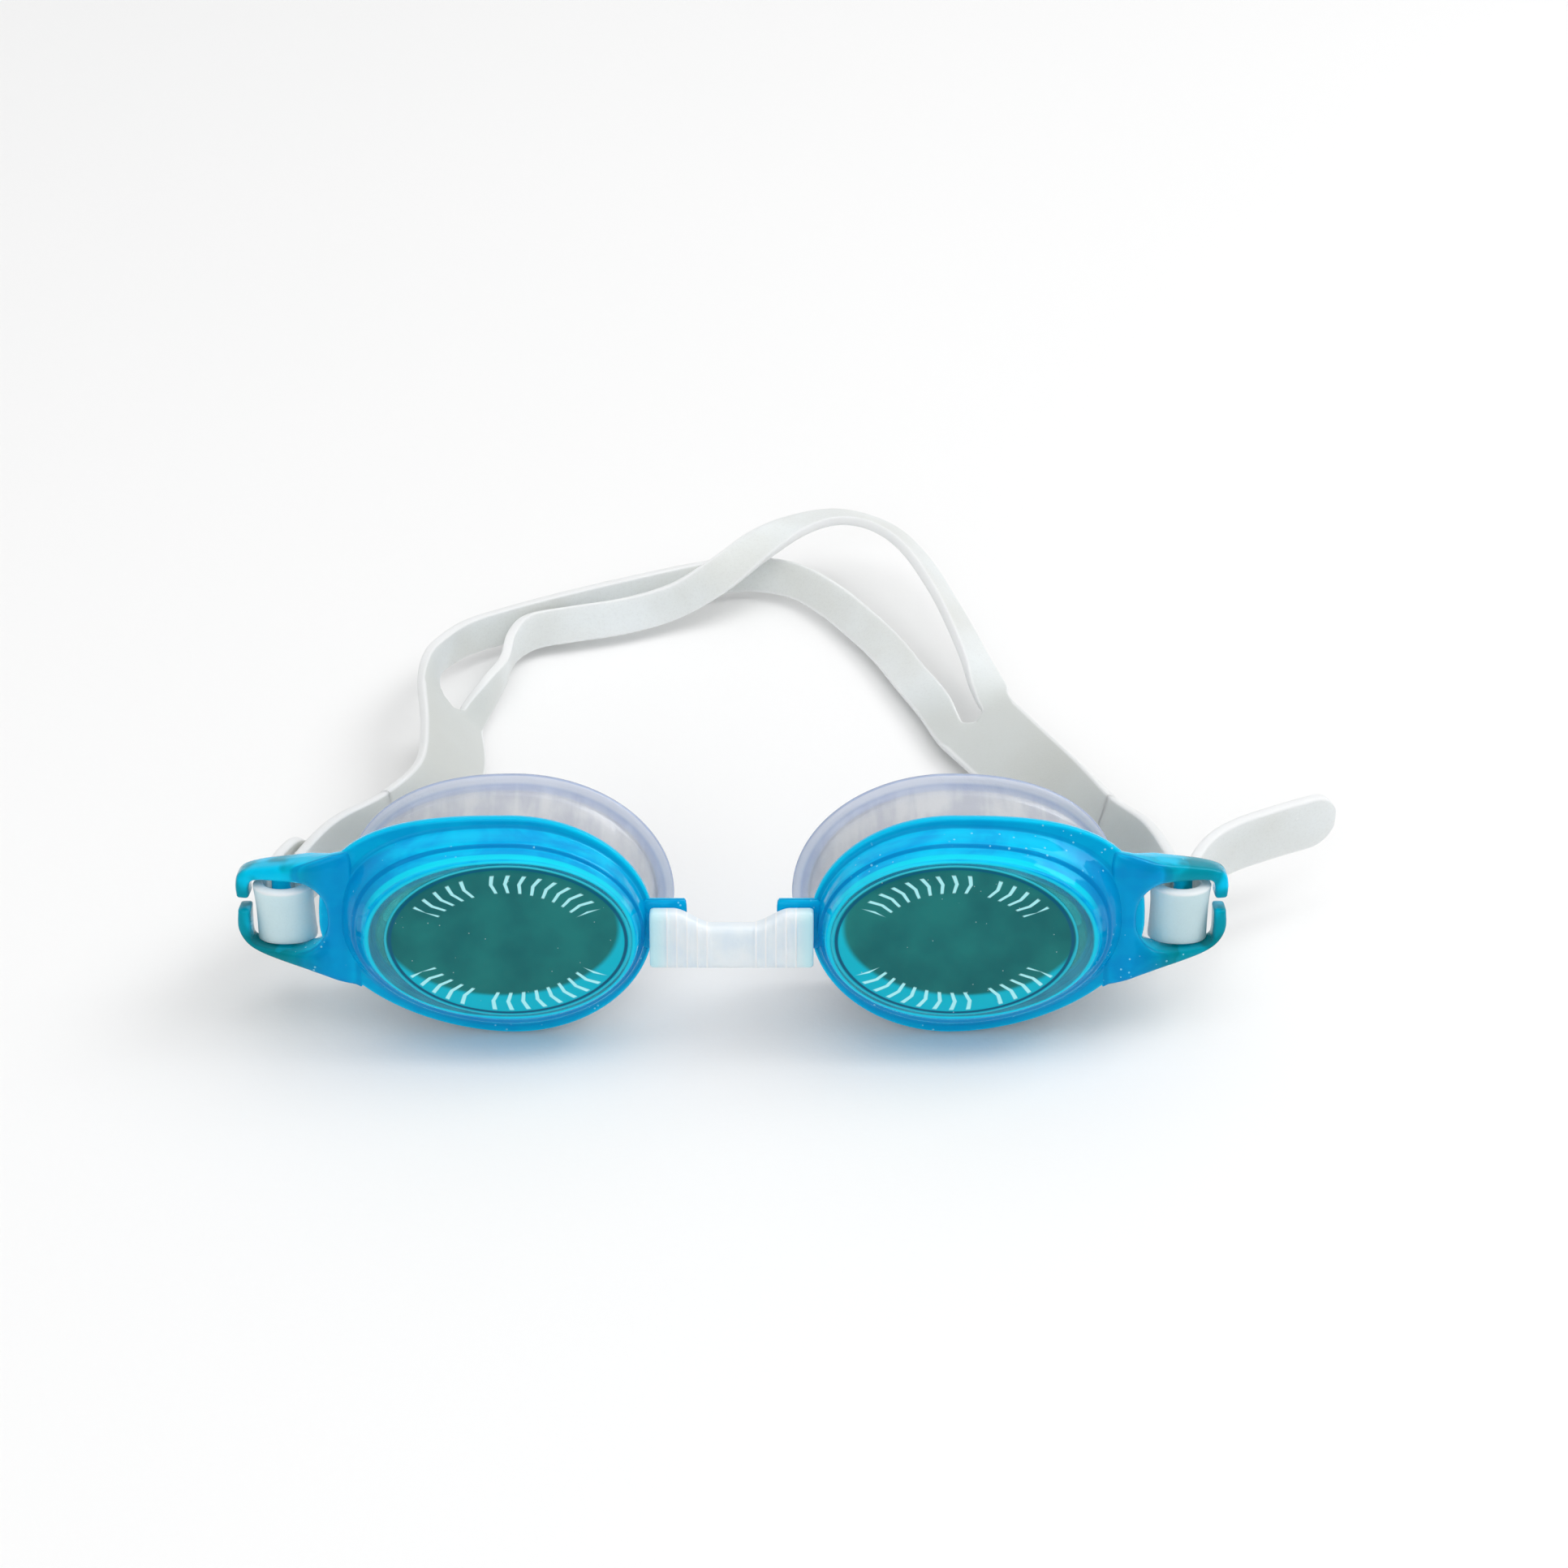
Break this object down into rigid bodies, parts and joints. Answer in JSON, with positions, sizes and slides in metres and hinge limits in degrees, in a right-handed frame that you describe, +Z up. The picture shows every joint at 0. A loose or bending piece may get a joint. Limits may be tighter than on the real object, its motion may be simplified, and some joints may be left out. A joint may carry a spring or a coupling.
{
  "type": "swim goggles",
  "caption": "Swim goggles with clear tinted one-piece eyecups, soft face seals, a clip-in nose bridge, peelable lens films and a split silicone head strap.",
  "frame": {"origin": "on the table under the middle of the whole part's box, as the goggles stand on the lower edges of their cups", "axes": "+X from the wearer's right cup to the left cup, along the row of lenses; -Y the way the lenses face; +Z up from the table"},
  "size_m": [0.1765, 0.1444, 0.0353],
  "materials": {
    "cup_polycarbonate": "clear moulded cyan tint, polished",
    "seal_silicone": "translucent satin",
    "bridge_silicone": "translucent satin, ribbed",
    "strap_silicone": "translucent matt",
    "film_plastic": "thin clear film with pale printed marks"
  },
  "bodies": {
    "bridge": {"nose_bridge": "bridge_silicone"},
    "right_cup": {"eyecup_right": "cup_polycarbonate", "gasket_right": "seal_silicone"},
    "left_cup": {"eyecup_left": "cup_polycarbonate", "gasket_left": "seal_silicone"},
    "right_film": {"protective_film_right": "film_plastic"},
    "left_film": {"protective_film_left": "film_plastic"},
    "strap": {"head_strap": "strap_silicone"}
  },
  "joints": [
    {"name": "right_cup_flex", "type": "hinge", "parent": "bridge", "child": "right_cup", "pos_m": [0.00215, -0.06266, 0.0186], "axis": [0, 0, 1], "range_deg": [-10, 15], "stiffness_Nm_per_rad": 0.08, "deforming": ["nose_bridge"]},
    {"name": "left_cup_flex", "type": "hinge", "parent": "bridge", "child": "left_cup", "pos_m": [-0.02365, -0.06266, 0.0186], "axis": [0, 0, -1], "range_deg": [-10, 15], "stiffness_Nm_per_rad": 0.08},
    {"name": "right_film_peel", "type": "slide", "parent": "right_cup", "child": "right_film", "axis": [0, -0.9613, 0.2756], "range_m": [0, 0.05]},
    {"name": "left_film_peel", "type": "slide", "parent": "left_cup", "child": "left_film", "axis": [0, -0.9613, 0.2756], "range_m": [0, 0.05]},
    {"name": "strap_swing", "type": "hinge", "parent": "bridge", "child": "strap", "pos_m": [-0.01075, -0.05687, 0.01786], "axis": [1, 0, 0], "range_deg": [0, 50], "deforming": ["head_strap"]}
  ]
}
